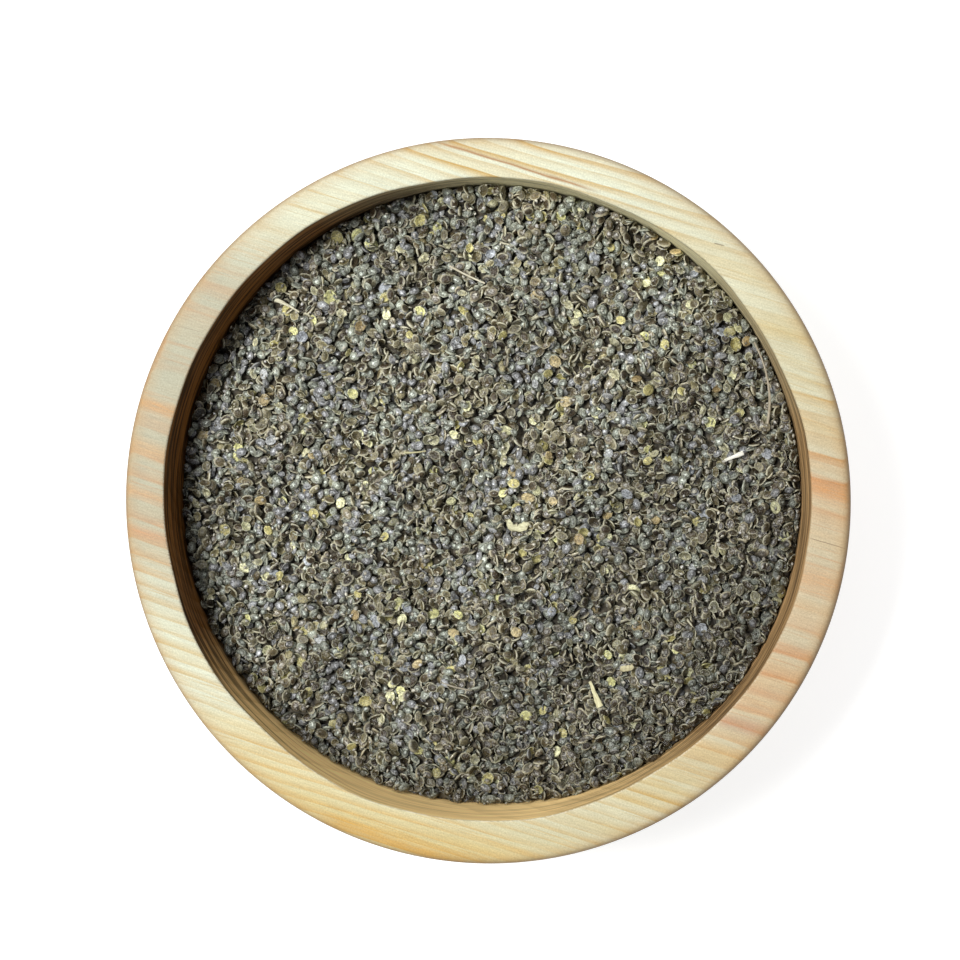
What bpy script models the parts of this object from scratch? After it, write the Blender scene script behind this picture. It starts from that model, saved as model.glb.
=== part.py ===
"""A turned pine dish filled with nettle seeds.

Lengths are in metres and +Z is up. The origin is the centre of the dish's flat underside.
Two solids are made: the dish, turned from one piece of wood, and the seeds that fill it, which
are one heap with bumps of seed size and the most visible loose seeds and stalks fused on top.
"""

import math
import random

import bmesh
import bpy
from mathutils import Euler, Matrix, Vector, geometry

MM = 0.001

# The dish: driving sizes.
DISH_DIAMETER = 140 * MM
DISH_HEIGHT = 45 * MM
RIM_WIDTH = 7.9 * MM
RIM_OUTER_ROUNDING = 1.7 * MM
RIM_INNER_CHAMFER = 0.3 * MM
BASE_DIAMETER = 96 * MM
BASE_CHAMFER = 0.8 * MM
BELLY_HEIGHT = 38 * MM
FLOOR_THICKNESS = 8 * MM
HOLLOW_FILLET = 19 * MM
HOLLOW_TAPER = math.radians(1.5)
HOLLOW_OFF_CENTRE = Vector((-0.1, 0.55, 0)) * MM
DISH_SEGMENTS = 72

# The seeds.
FILL_DEPTH = 14 * MM
SEED_LENGTH = 2.3 * MM
SEED_THICKNESS = 0.9 * MM
SEEDS_TO_DISH_GAP = 0.35 * MM
HEAP_SEGMENTS = 72
BUMP_PITCH = 1.12 * SEED_LENGTH
BUMP_HEIGHT = 0.75 * MM
LOOSE_SEEDS = 52
RANDOM_SEED = 7

PINE = ((0.76, 0.62, 0.36, 1.0), 0.55)
SEEDS = ((0.13, 0.12, 0.09, 1.0), 0.45)

DISH_RADIUS = DISH_DIAMETER / 2
RIM_INNER_RADIUS = DISH_RADIUS - RIM_WIDTH
FILL_LEVEL = DISH_HEIGHT - FILL_DEPTH


def clear_scene():
    """Removes whatever the file opened with."""
    for old in list(bpy.data.objects):
        bpy.data.objects.remove(old)


def material(name, look):
    """A plain Principled material of one colour and roughness."""
    colour, roughness = look
    made = bpy.data.materials.new(name)
    made.use_nodes = True
    shader = made.node_tree.nodes["Principled BSDF"]
    shader.inputs["Base Color"].default_value = colour
    shader.inputs["Roughness"].default_value = roughness
    shader.inputs["Metallic"].default_value = 0.0
    made.diffuse_color = colour
    return made


def object_of(shape, name):
    """Puts a bmesh into the scene as an object with outward faces."""
    bmesh.ops.recalc_face_normals(shape, faces=shape.faces)
    mesh = bpy.data.meshes.new(name)
    shape.to_mesh(mesh)
    shape.free()
    made = bpy.data.objects.new(name, mesh)
    bpy.context.scene.collection.objects.link(made)
    return made


def arc(centre, radius, start, end, steps):
    """Points (r, z) along an arc from one angle to the other, both ends included."""
    angles = [start + (end - start) * k / steps for k in range(steps + 1)]
    return [
        (centre[0] + radius * math.cos(a), centre[1] + radius * math.sin(a))
        for a in angles
    ]


def turned(name, profile, segments):
    """Spins a profile of (r, z) points, which starts and ends on the axis, into a closed solid."""
    shape = bmesh.new()
    points = [shape.verts.new((r, 0, z)) for r, z in profile]
    edges = [shape.edges.new(pair) for pair in zip(points, points[1:])]
    bmesh.ops.spin(
        shape,
        geom=points + edges,
        cent=(0, 0, 0),
        axis=(0, 0, 1),
        angle=2 * math.pi,
        steps=segments,
        use_merge=True,
    )
    bmesh.ops.remove_doubles(shape, verts=shape.verts, dist=0.001 * MM)
    return object_of(shape, name)


def blank_profile():
    """The outside of the dish: flat base, a belly that swells to the rim, and a rounded top edge.

    The belly is one arc that leaves the base's edge and stands upright where it meets the rim.
    """
    base_radius = BASE_DIAMETER / 2
    swell = DISH_RADIUS - base_radius
    belly_radius = (swell**2 + BELLY_HEIGHT**2) / (2 * swell)
    belly_start = math.asin(BELLY_HEIGHT / belly_radius)
    belly = arc(
        (DISH_RADIUS - belly_radius, BELLY_HEIGHT),
        belly_radius,
        BASE_CHAMFER / belly_radius - belly_start,
        0,
        7,
    )
    top_edge = arc(
        (DISH_RADIUS - RIM_OUTER_ROUNDING, DISH_HEIGHT - RIM_OUTER_ROUNDING),
        RIM_OUTER_ROUNDING,
        0,
        math.radians(90),
        3,
    )
    return [(0, 0), (base_radius - BASE_CHAMFER, 0)] + belly + top_edge + [(0, DISH_HEIGHT)]


def hollow_profile(inset=0.0):
    """The inside of the dish below the rim's chamfer, floor first, drawn in by inset all over."""
    floor = FLOOR_THICKNESS + inset
    fillet = HOLLOW_FILLET - inset
    drop = DISH_HEIGHT - FLOOR_THICKNESS - HOLLOW_FILLET
    wall_foot = RIM_INNER_RADIUS - inset - drop * math.tan(HOLLOW_TAPER)
    turn_in = arc(
        (wall_foot - fillet, floor + fillet), fillet, math.radians(-90), 0, 4
    )
    return [(0, floor)] + turn_in


def make_dish():
    """Turns the dish and hollows it. The hollow is a little off centre, so the rim is thicker in front."""
    dish = turned("dish", blank_profile(), DISH_SEGMENTS)
    overrun = 3 * MM
    mouth = [
        (RIM_INNER_RADIUS, DISH_HEIGHT - RIM_INNER_CHAMFER),
        (RIM_INNER_RADIUS + RIM_INNER_CHAMFER, DISH_HEIGHT),
        (RIM_INNER_RADIUS + RIM_INNER_CHAMFER, DISH_HEIGHT + overrun),
        (0, DISH_HEIGHT + overrun),
    ]
    cutter = turned("hollow_cutter", hollow_profile() + mouth, DISH_SEGMENTS)
    cutter.location = HOLLOW_OFF_CENTRE
    bpy.context.view_layer.update()
    cut = dish.modifiers.new("hollow", "BOOLEAN")
    cut.operation = "DIFFERENCE"
    cut.object = cutter
    apply_modifiers(dish)
    bpy.data.objects.remove(cutter)
    dish.data.materials.clear()
    dish.data.materials.append(material("pine", PINE))
    dish.data.shade_smooth()
    dish.data.set_sharp_from_angle(angle=math.radians(35))
    return dish


def apply_modifiers(target):
    """Applies every modifier of an object, as the buttons in the Modifiers tab would."""
    bpy.ops.object.select_all(action="DESELECT")
    target.select_set(True)
    bpy.context.view_layer.objects.active = target
    for modifier in list(target.modifiers):
        bpy.ops.object.modifier_apply(modifier=modifier.name)


def fill_height(x, y):
    """The height of the heap's surface: nearly level, with low swells and a slight droop at the wall."""
    swell = 0.45 * math.sin(x / (13 * MM) + 0.8) * math.cos(y / (16 * MM) - 0.5)
    swell += 0.25 * math.sin((x + y) / (8 * MM))
    droop = 0.7 * (math.hypot(x, y) / RIM_INNER_RADIUS) ** 6
    return FILL_LEVEL + (swell - droop) * MM


def heap_surface(radius, draw):
    """Points of the bumpy surface and the lines between hollows, so that each bump stands alone.

    Bumps and hollows alternate like the squares of a chessboard, each moved a little at random.
    """
    pitch = BUMP_PITCH / math.sqrt(2)
    reach = int(radius / pitch) + 1
    points, heights, index = [], [], {}
    for row in range(-reach, reach + 1):
        for column in range(-reach, reach + 1):
            x = (column + draw.uniform(-0.24, 0.24)) * pitch
            y = (row + draw.uniform(-0.24, 0.24)) * pitch
            lift = draw.uniform(0.25, 1.0)
            if math.hypot(x, y) > radius - 0.75 * pitch:
                continue
            on_bump = (row + column) % 2 == 0
            lift = lift if on_bump else -0.35 * lift
            index[row, column] = len(points)
            points.append(Vector((x, y)))
            heights.append(fill_height(x, y) + lift * BUMP_HEIGHT)
    lines = []
    for (row, column), here in index.items():
        if (row + column) % 2 == 0:
            continue
        for side in (-1, 1):
            there = index.get((row + 1, column + side))
            if there is not None:
                lines.append((here, there))
    for k in range(HEAP_SEGMENTS):
        turn = 2 * math.pi * k / HEAP_SEGMENTS
        x, y = radius * math.cos(turn), radius * math.sin(turn)
        points.append(Vector((x, y)))
        heights.append(fill_height(x, y) + draw.uniform(-0.5, 0.4) * BUMP_HEIGHT)
    return points, heights, lines


def heap_core(draw):
    """The body of the heap: the bumpy surface on top, and under it the dish's inside less a gap."""
    below = hollow_profile(SEEDS_TO_DISH_GAP)[::-1]
    wall_rise = FILL_LEVEL - below[0][1]
    radius = below[0][0] + wall_rise * math.tan(HOLLOW_TAPER)
    points, heights, lines = heap_surface(radius, draw)
    places, _, triangles, came_from, _, _ = geometry.delaunay_2d_cdt(
        points, lines, [], 0, 0.0001 * MM
    )
    shape = bmesh.new()
    corners = [
        shape.verts.new((place.x, place.y, heights[source[0]]))
        for place, source in zip(places, came_from)
    ]
    for triangle in triangles:
        shape.faces.new([corners[k] for k in triangle])
    ring = [edge for edge in shape.edges if edge.is_boundary]
    for ring_radius, ring_height in below[:-1]:
        grown = bmesh.ops.extrude_edge_only(shape, edges=ring)["geom"]
        ring = [part for part in grown if isinstance(part, bmesh.types.BMEdge)]
        for part in grown:
            if isinstance(part, bmesh.types.BMVert):
                outward = Vector((part.co.x, part.co.y, 0)).normalized()
                part.co = outward * ring_radius + Vector((0, 0, ring_height))
    bmesh.ops.edgeloop_fill(shape, edges=ring)
    return object_of(shape, "seeds")


def loose_seed(length, width, thickness):
    """A flat oval seed with a blunt tip at one end: six sides and a raised middle."""
    sides = 6
    shape = bmesh.new()
    rim, crown, keel = [], [], []
    for k in range(sides):
        turn = 2 * math.pi * (k + 0.5) / sides
        x = length / 2 * math.cos(turn) * (1.12 if k in (0, sides - 1) else 1.0)
        y = width / 2 * math.sin(turn)
        rim.append(shape.verts.new((x, y, 0)))
        crown.append(shape.verts.new((0.55 * x, 0.55 * y, 0.45 * thickness)))
        keel.append(shape.verts.new((0.55 * x, 0.55 * y, -0.45 * thickness)))
    for k in range(sides):
        after = (k + 1) % sides
        shape.faces.new((rim[k], rim[after], crown[after], crown[k]))
        shape.faces.new((rim[after], rim[k], keel[k], keel[after]))
    shape.faces.new(crown)
    shape.faces.new(keel[::-1])
    return shape


def stalk(length, bend, thickness):
    """A dry stalk: a square rod that bends evenly by the given angle and thins to its end."""
    steps = 7
    shape = bmesh.new()
    rings = []
    for k in range(steps + 1):
        share = k / steps
        turn = bend * (share - 0.5)
        if abs(bend) > 0.01:
            radius = length / bend
            x, y = radius * math.sin(turn), radius * (1 - math.cos(turn))
        else:
            x, y = length * (share - 0.5), 0.0
        half = thickness / 2 * (1 - 0.35 * share)
        across = Vector((-math.sin(turn), math.cos(turn), 0)) * half
        up = Vector((0, 0, half))
        middle = Vector((x, y, 0))
        sides = (across + up, up - across, -across - up, across - up)
        rings.append([shape.verts.new(middle + side) for side in sides])
    for low, high in zip(rings, rings[1:]):
        for k in range(4):
            after = (k + 1) % 4
            shape.faces.new((low[k], low[after], high[after], high[k]))
    shape.faces.new(rings[0][::-1])
    shape.faces.new(rings[-1])
    return shape


def on_heap(shape, name, x, y, lift, turn, tilt=(0.0, 0.0)):
    """Lays a loose piece on the heap at x, y, turned in plan and tilted as it fell."""
    lean = Euler((tilt[0], tilt[1], turn)).to_matrix().to_4x4()
    place = Matrix.Translation((x, y, fill_height(x, y) + lift))
    bmesh.ops.transform(shape, matrix=place @ lean, verts=shape.verts)
    return object_of(shape, name)


def loose_pieces(radius, draw):
    """The loose seeds, spread by the golden angle, and the stalks where they catch the eye."""
    golden = math.pi * (3 - math.sqrt(5))
    pieces = []
    for k in range(LOOSE_SEEDS):
        out = (radius - 2 * SEED_LENGTH) * math.sqrt((k + 0.5) / LOOSE_SEEDS)
        turn = k * golden + draw.uniform(-0.2, 0.2)
        length = SEED_LENGTH * draw.uniform(0.95, 1.2)
        seed = loose_seed(length, length * draw.uniform(0.8, 0.95), SEED_THICKNESS)
        pieces.append(
            on_heap(
                seed,
                f"loose_seed_{k:02d}",
                out * math.cos(turn),
                out * math.sin(turn),
                lift=draw.uniform(0.35, 0.6) * BUMP_HEIGHT,
                turn=draw.uniform(0, 2 * math.pi),
                tilt=(draw.uniform(-0.45, 0.45), draw.uniform(-0.45, 0.45)),
            )
        )
    # length, bend and thickness of each stalk, then its place and its turn in plan
    stalks = (
        (16.4 * MM, math.radians(52), 0.55 * MM, (55.1 * MM, 22.6 * MM), math.radians(97)),
        (7.8 * MM, math.radians(6), 0.55 * MM, (-4.1 * MM, 43.8 * MM), math.radians(-26)),
        (4.9 * MM, math.radians(-14), 0.55 * MM, (-39.6 * MM, 38.0 * MM), math.radians(-26)),
        (4.6 * MM, 0.0, 1.00 * MM, (21.0 * MM, -39.0 * MM), math.radians(-68)),
        (3.6 * MM, 0.0, 0.95 * MM, (48.4 * MM, 8.2 * MM), math.radians(12)),
    )
    for k, (length, bend, thickness, (x, y), turn) in enumerate(stalks):
        rod = stalk(length, bend, thickness)
        lift = 0.45 * BUMP_HEIGHT
        pieces.append(on_heap(rod, f"stalk_{k}", x, y, lift=lift, turn=turn))
    return pieces


def keep_outer_skin(target):
    """Drops the scraps and fills the sealed pockets that a union leaves, by keeping the largest skin."""
    shape = bmesh.new()
    shape.from_mesh(target.data)
    unseen = set(shape.faces)
    skins = []
    while unseen:
        skin, edge = set(), [unseen.pop()]
        while edge:
            face = edge.pop()
            skin.add(face)
            near = {other for side in face.edges for other in side.link_faces}
            edge += near & unseen
            unseen -= near
        skins.append(skin)
    skins.sort(key=len)
    scraps = [face for skin in skins[:-1] for face in skin]
    bmesh.ops.delete(shape, geom=scraps, context="FACES")
    shape.to_mesh(target.data)
    shape.free()


def make_seeds():
    """The heap: its core with the loose pieces joined on by one union."""
    draw = random.Random(RANDOM_SEED)
    heap = heap_core(draw)
    loose = bpy.data.collections.new("loose_pieces")
    bpy.context.scene.collection.children.link(loose)
    for piece in loose_pieces(RIM_INNER_RADIUS, draw):
        bpy.context.scene.collection.objects.unlink(piece)
        loose.objects.link(piece)
    bpy.context.view_layer.update()
    join = heap.modifiers.new("join", "BOOLEAN")
    join.operation = "UNION"
    join.operand_type = "COLLECTION"
    join.collection = loose
    join.solver = "MANIFOLD"
    apply_modifiers(heap)
    keep_outer_skin(heap)
    for piece in list(loose.objects):
        bpy.data.objects.remove(piece)
    bpy.data.collections.remove(loose)
    heap.data.materials.clear()
    heap.data.materials.append(material("nettle_seeds", SEEDS))
    heap.location = HOLLOW_OFF_CENTRE
    return heap


def main():
    """Builds the dish and the seeds."""
    clear_scene()
    make_dish()
    make_seeds()


main()
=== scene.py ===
"""Looks of a small turned pine dish filled with nettle seeds, seen from above.

Lengths are in metres and +Z is up. +X is to the right and +Y to the top of the view from above.
The dish is turned again with a fine outline, and the heap of seeds is made of thousands of seeds,
husks, discs, stalks and chips that lie on a bumpy core.
"""

import logging
import math
from collections.abc import Callable, Sequence
from dataclasses import dataclass, field
from enum import Enum

import bpy
import numpy as np
from mathutils import Matrix, Vector


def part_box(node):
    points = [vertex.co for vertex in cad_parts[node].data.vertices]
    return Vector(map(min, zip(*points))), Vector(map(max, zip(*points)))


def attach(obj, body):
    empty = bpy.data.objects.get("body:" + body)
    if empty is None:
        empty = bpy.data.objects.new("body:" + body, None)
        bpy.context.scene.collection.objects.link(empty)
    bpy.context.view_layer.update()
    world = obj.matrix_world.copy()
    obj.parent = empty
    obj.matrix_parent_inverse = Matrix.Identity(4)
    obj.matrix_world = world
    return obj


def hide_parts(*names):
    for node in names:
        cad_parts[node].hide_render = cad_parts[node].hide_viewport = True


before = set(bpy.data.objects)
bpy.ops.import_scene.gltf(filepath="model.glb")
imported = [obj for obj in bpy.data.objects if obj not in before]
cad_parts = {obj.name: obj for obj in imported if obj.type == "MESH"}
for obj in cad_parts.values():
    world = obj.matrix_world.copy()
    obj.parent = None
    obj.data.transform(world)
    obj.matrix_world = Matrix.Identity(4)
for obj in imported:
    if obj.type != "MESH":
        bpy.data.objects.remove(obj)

LOG = logging.getLogger("dish_of_nettle_seeds")
MM = 0.001
BODY = "root"
Colour = tuple[float, float, float]
Place = tuple[float, float]
FRONT_WAY: Place = (0.75, -0.66)


def srgb(red: float, green: float, blue: float) -> Colour:
    """Turns a colour as seen on a screen, 0 to 255 each, into the renderer's linear values.

    Args:
        red: Red, 0 to 255.
        green: Green, 0 to 255.
        blue: Blue, 0 to 255.

    Returns:
        The linear colour, 0 to 1 each.
    """

    def linear(value: float) -> float:
        share = value / 255
        return share / 12.92 if share <= 0.04045 else ((share + 0.055) / 1.055) ** 2.4

    return linear(red), linear(green), linear(blue)


class Bench:
    """Modelling moves that several pieces share."""

    @staticmethod
    def clear_selection() -> None:
        """Leaves nothing selected, so that the next operator acts on the new piece alone."""
        if bpy.context.object and bpy.context.object.mode != "OBJECT":
            bpy.ops.object.mode_set(mode="OBJECT")
        bpy.ops.object.select_all(action="DESELECT")

    @staticmethod
    def select_vertices(keep: Callable[[Vector], bool]) -> None:
        """Selects the vertices of the piece in edit mode that pass a test of their place.

        Args:
            keep: Says of a vertex's place whether it is selected.
        """
        piece = bpy.context.object
        bpy.ops.mesh.select_mode(type="VERT")
        bpy.ops.mesh.select_all(action="DESELECT")
        bpy.ops.object.mode_set(mode="OBJECT")
        for vertex in piece.data.vertices:
            vertex.select = keep(vertex.co)
        bpy.ops.object.mode_set(mode="EDIT")

    @staticmethod
    def apply_modifiers(piece: bpy.types.Object) -> None:
        """Applies every modifier of a piece.

        Args:
            piece: The piece, with its modifiers live.
        """
        Bench.clear_selection()
        piece.select_set(True)
        bpy.context.view_layer.objects.active = piece
        for modifier in list(piece.modifiers):
            bpy.ops.object.modifier_apply(modifier=modifier.name)

    @staticmethod
    def hand_in(piece: bpy.types.Object, slot: str, *nodes: str) -> None:
        """Fixes a finished piece to the model and reports it.

        Args:
            piece: The piece, in place.
            slot: Not used.
            nodes: The plain solids that it stands for.
        """
        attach(piece, BODY)
        if nodes:
            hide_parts(*nodes)
        LOG.info("%s: %d faces", piece.name, len(piece.data.polygons))


class Wiring:
    """Adds and links the nodes of one material.

    Args:
        name: The material's name.
    """

    def __init__(self, name: str) -> None:
        self.material = bpy.data.materials.new(name)
        self.material.use_nodes = True
        self.tree = self.material.node_tree
        self.shader = self.tree.nodes["Principled BSDF"]

    def node(self, kind: str, **settings: object) -> bpy.types.Node:
        """Adds a node.

        Args:
            kind: The node's type, without its ShaderNode prefix.
            settings: Properties to set on it.

        Returns:
            The node.
        """
        made = self.tree.nodes.new("ShaderNode" + kind)
        for key, value in settings.items():
            setattr(made, key, value)
        return made

    def feed(self, socket: bpy.types.NodeSocket, value: object) -> None:
        """Links a socket to another, or sets it to a constant.

        Args:
            socket: The input.
            value: An output socket, a number, a vector or a colour.
        """
        if isinstance(value, bpy.types.NodeSocket):
            self.tree.links.new(value, socket)
        elif isinstance(value, tuple) and socket.type == "RGBA":
            socket.default_value = (*value, 1.0)[:4]
        else:
            socket.default_value = value

    def math(self, operation: str, *values: object) -> bpy.types.NodeSocket:
        """Adds a Math node.

        Args:
            operation: The operation's name.
            values: Its inputs, in order.

        Returns:
            The result.
        """
        made = self.node("Math", operation=operation)
        for socket, value in zip(made.inputs, values):
            self.feed(socket, value)
        return made.outputs[0]

    def times(self, *factors: object) -> bpy.types.NodeSocket:
        """Multiplies numbers.

        Args:
            factors: The numbers, two or more.

        Returns:
            Their product.
        """
        product = factors[0]
        for factor in factors[1:]:
            product = self.math("MULTIPLY", product, factor)
        return product

    def vector(self, operation: str, *values: object) -> bpy.types.NodeSocket:
        """Adds a Vector Math node.

        Args:
            operation: The operation's name.
            values: Its inputs, in order.

        Returns:
            The result, a number for a length or a dot product and else a vector.
        """
        made = self.node("VectorMath", operation=operation)
        for socket, value in zip(made.inputs, values):
            self.feed(socket, value)
        number = operation in ("LENGTH", "DOT_PRODUCT", "DISTANCE")
        return made.outputs["Value" if number else "Vector"]

    def mix(self, factor: object, low: object, high: object, blend: str = "MIX") -> bpy.types.NodeSocket:
        """Adds a Mix node for colours.

        Args:
            factor: How much of the second colour there is, 0 to 1.
            low: The first colour.
            high: The second colour.
            blend: The way they are blended.

        Returns:
            The mixed colour.
        """
        made = self.node("Mix", data_type="RGBA", blend_type=blend)
        for socket, value in zip((made.inputs[0], made.inputs[6], made.inputs[7]), (factor, low, high)):
            self.feed(socket, value)
        return made.outputs[2]

    def shade(self, colour: object, factor: object) -> bpy.types.NodeSocket:
        """Multiplies a colour by a number or by another colour."""
        return self.mix(1.0, colour, factor, "MULTIPLY")

    def ramp(self, value: object, stops: Sequence[tuple[float, float]]) -> bpy.types.NodeSocket:
        """Maps a number through straight stretches between stops.

        Args:
            value: The number, 0 to 1.
            stops: Pairs of a place, 0 to 1, and the result there.

        Returns:
            The result.
        """
        made = self.node("ValToRGB")
        elements = made.color_ramp.elements
        while len(elements) < len(stops):
            elements.new(0.5)
        for element, (at, level) in zip(elements, stops):
            element.position = at
            element.color = (level, level, level, 1.0)
        self.feed(made.inputs[0], value)
        return made.outputs[0]

    def spread(
        self, value: object, low: float, high: float, to_low: float, to_high: float
    ) -> bpy.types.NodeSocket:
        """Maps a range of a number onto another range, and holds it there.

        Args:
            value: The number.
            low: Where the range starts.
            high: Where it ends.
            to_low: The result at its start.
            to_high: The result at its end.

        Returns:
            The result.
        """
        made = self.node("MapRange")
        for socket, given in zip(made.inputs, (value, low, high, to_low, to_high)):
            self.feed(socket, given)
        return made.outputs[0]

    def noise(
        self, vector: object, scale: float | Colour, detail: float = 2.0, roughness: float = 0.5
    ) -> bpy.types.NodeSocket:
        """Adds a Noise texture.

        Args:
            vector: Where it is read.
            scale: How many bumps there are to a unit, the same all ways or for each axis.
            detail: How many finer layers there are.
            roughness: How strong those are.

        Returns:
            The noise, 0 to 1.
        """
        if isinstance(scale, tuple):
            vector, scale = self.vector("MULTIPLY", vector, scale), 1.0
        made = self.node("TexNoise")
        self.feed(made.inputs["Vector"], vector)
        self.feed(made.inputs["Scale"], scale)
        self.feed(made.inputs["Detail"], detail)
        self.feed(made.inputs["Roughness"], roughness)
        return made.outputs[0]

    def millimetres(self, turn: float = 0.0) -> bpy.types.NodeSocket:
        """Reads the object's coordinates in millimetres.

        Args:
            turn: An angle to turn them by about +Z.

        Returns:
            The coordinates.
        """
        coordinates = self.node("TexCoord")
        turned = self.node("Mapping")
        self.feed(turned.inputs["Vector"], coordinates.outputs["Object"])
        turned.inputs["Rotation"].default_value = (0.0, 0.0, turn)
        turned.inputs["Scale"].default_value = (1 / MM,) * 3
        return turned.outputs["Vector"]

    def apart(self, place: object) -> tuple[bpy.types.NodeSocket, ...]:
        """Splits a place into its three coordinates."""
        made = self.node("SeparateXYZ")
        self.feed(made.inputs[0], place)
        return tuple(made.outputs)

    def dress(self, **inputs: object) -> bpy.types.Material:
        """Feeds the shader's inputs and returns the material.

        Args:
            inputs: Values by the socket's name, with _ for a space.

        Returns:
            The material.
        """
        for name, value in inputs.items():
            self.feed(self.shader.inputs[name.replace("_", " ")], value)
        return self.material

    def bump(self, height: object, depth: float, strength: float = 1.0) -> None:
        """Gives the shader fine relief.

        Args:
            height: The relief, 0 to 1.
            depth: How high 1 stands, in metres.
            strength: How much of it shows.
        """
        made = self.node("Bump")
        self.feed(made.inputs["Height"], height)
        made.inputs["Distance"].default_value = depth
        made.inputs["Strength"].default_value = strength
        self.tree.links.new(made.outputs[0], self.shader.inputs["Normal"])


@dataclass(frozen=True)
class PineMark:
    """A short mark along the fibres: a check, a dark fleck or a resin streak."""

    along: float
    across: float
    length: float
    width: float
    colour: Colour
    strength: float


@dataclass(frozen=True)
class PineFinish:
    """Bare sanded pine. The growth rings are tubes about the tree's heart, low in the dish.

    Lengths are in millimetres, along the fibres and across them. ring_profile says how dark a ring is
    from its start to its end. calm lists where the latewood is faint: a place, and how much is left.
    """

    left_heartwood: Colour = srgb(173, 170, 148)
    right_heartwood: Colour = srgb(190, 177, 148)
    left_sapwood: Colour = srgb(200, 202, 180)
    right_sapwood: Colour = srgb(197, 193, 165)
    yellow_sapwood: Colour = srgb(190, 177, 131)
    # The rim's colour towards its outer edge: partly the wood's tint, partly painted shade of the rounding.
    edge: Colour = srgb(170, 132, 84)
    # Painted highlight: the pale line where the inner edge catches the light at the front.
    inner_edge_highlight: Colour = srgb(226, 220, 198)
    band: Colour = srgb(190, 154, 108)
    yellow_band: Colour = srgb(194, 166, 98)
    late_heartwood: Colour = srgb(174, 122, 76)
    late_sapwood: Colour = srgb(174, 136, 58)
    late_front: Colour = srgb(182, 134, 38)
    # Painted shade: the brown laid on the steep part of the rounded outer edge, which turns away from the
    # light.
    outside: Colour = srgb(128, 104, 72)
    # End grain on the left of the hollow: brown as end grain is, and darker as painted shade of that wall.
    left_end_grain_and_painted_shade: Colour = srgb(100, 58, 2)
    right_end_grain: Colour = srgb(142, 112, 74)
    # The wall's side grain by side: its tint, with painted light on the front and top and painted shade on
    # the far side.
    front_wall_tint_and_painted_light: Colour = srgb(250, 216, 152)
    far_wall_tint_and_painted_shade: Colour = srgb(192, 184, 147)
    top_wall_tint_and_painted_light: Colour = srgb(250, 242, 198)
    grain_turn: float = math.radians(17.3)
    heart: tuple[float, float, float] = (0.0, 6.0, 23.0)
    heart_radius: float = 22.0
    ring_width: float = 3.4
    narrowing: float = 0.0024
    ring_profile: tuple[Place, ...] = (
        (0.0, 0.0), (0.22, 0.0), (0.52, 0.32), (0.82, 0.88), (0.92, 1.0), (1.0, 0.0),
    )
    broad_mark: float = 1.5
    calm: tuple[tuple[float, float, float], ...] = ((-52.0, 38.0, 0.12), (38.0, 52.0, 0.35))
    marks: tuple[PineMark, ...] = (
        PineMark(64.6, 12.7, 7.6, 0.16, srgb(84, 62, 44), 0.8),
        PineMark(-64.6, 15.0, 6.4, 0.14, srgb(126, 116, 98), 0.7),
        PineMark(28.1, 60.6, 2.2, 0.3, srgb(90, 72, 46), 0.7),
        PineMark(-14.0, 63.4, 36.0, 0.6, srgb(150, 106, 60), 0.85),
        PineMark(3.7, -67.6, 34.0, 2.6, srgb(184, 140, 58), 0.75),
        PineMark(-64.0, -1.2, 26.0, 3.0, srgb(182, 134, 82), 0.75),
        PineMark(-64.0, -9.5, 26.0, 4.6, srgb(184, 148, 104), 0.5),
        PineMark(-64.0, -18.2, 26.0, 2.6, srgb(184, 142, 98), 0.6),
        PineMark(-64.0, -25.3, 26.0, 2.4, srgb(180, 132, 92), 0.7),
        PineMark(64.5, 22.0, 26.0, 4.6, srgb(184, 130, 78), 0.8),
        PineMark(64.5, 5.0, 26.0, 6.0, srgb(182, 140, 98), 0.7),
        PineMark(58.0, -18.5, 30.0, 2.0, srgb(176, 134, 98), 0.5),
        PineMark(56.0, -25.5, 30.0, 3.4, srgb(168, 132, 106), 0.75),
    )

    def material(self, name: str, wall: bool = False) -> bpy.types.Material:
        """Makes the material.

        Args:
            name: The material's name.
            wall: Whether it is for the hollow's wall, which is browner and carries painted light and shade.

        Returns:
            The material.
        """
        wires = Wiring(name)
        along = wires.millimetres(self.grain_turn)
        wander = wires.noise(along, (0.011, 0.022, 0.022), 2.0, 0.4)
        waver = wires.noise(along, (0.06, 0.25, 0.25))
        streaks = wires.noise(along, (0.035, 1.3, 1.3), 3.0, 0.65)
        fibres = wires.noise(along, (0.25, 3.4, 3.4), 3.0, 0.6)
        grit = wires.noise(along, 3.2, 2.0, 0.7)
        late = self.latewood(wires, along, wander, waver, streaks)
        colour = self.wood(wires, along, wander, late, streaks)
        for mark in () if wall else self.marks:
            amount = self.mask(wires, along, waver, mark)
            if mark.width > self.broad_mark:
                amount = wires.times(amount, wires.spread(fibres, 0.35, 0.6, 0.5, 1.0))
            colour = wires.mix(amount, colour, mark.colour)
        colour = wires.shade(colour, wires.spread(fibres, 0.28, 0.72, 0.88, 1.08))
        colour = wires.shade(colour, wires.spread(grit, 0.3, 0.7, 0.84, 1.14))
        if wall:
            colour = self.wall_colour(wires, along, colour, late)
        else:
            colour = self.rim_colour(wires, along, colour, fibres)
        wires.bump(wires.math("MULTIPLY_ADD", grit, 0.5, wires.times(fibres, 0.7)), 0.07 * MM, 0.6)
        return wires.dress(Base_Color=colour, Roughness=0.62, Specular_IOR_Level=0.1 if wall else 0.25)

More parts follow.
